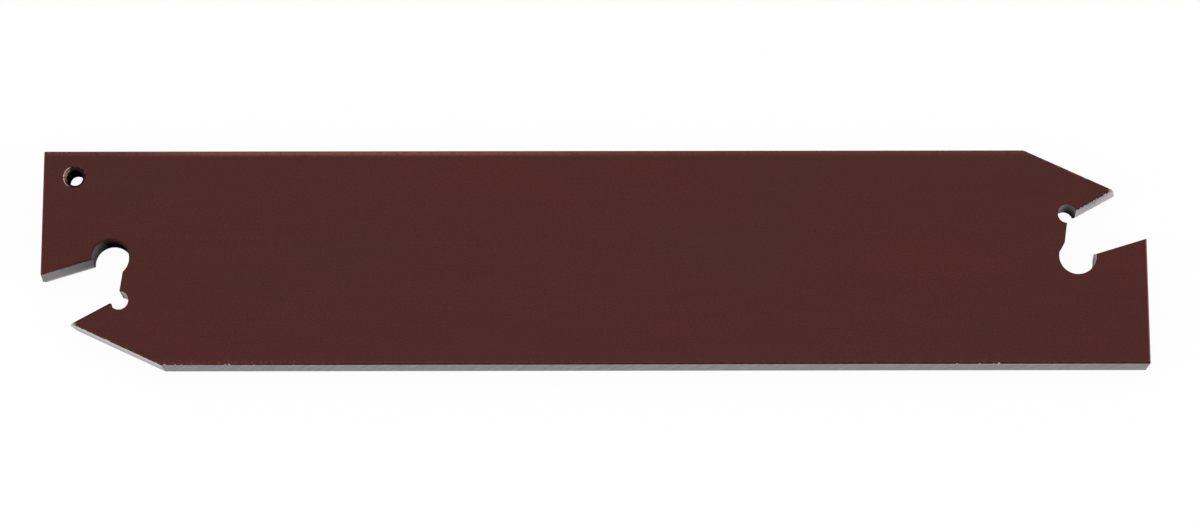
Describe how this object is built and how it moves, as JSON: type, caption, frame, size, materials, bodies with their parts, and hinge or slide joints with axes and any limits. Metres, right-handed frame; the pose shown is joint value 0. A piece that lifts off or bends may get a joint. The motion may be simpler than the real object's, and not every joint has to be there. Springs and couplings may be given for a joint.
{
  "type": "parting blade",
  "caption": "Flat steel parting blade with a self-gripping insert pocket and sloped nose at each end, ridged seats, relief holes and a hanging hole in one corner.",
  "frame": {"origin": "middle of the lower broad face, on the surface that the blade lies on", "axes": "+X along the blade's length, +Y across its height towards the edge with the hanging hole, +Z through its thickness and up"},
  "size_m": [0.1616, 0.032, 0.0052],
  "materials": {
    "coated_steel": "satin brown coat on the broad faces, bare ground steel on the edges and in the pockets"
  },
  "bodies": {
    "root": {"blade": "coated_steel"}
  },
  "joints": []
}
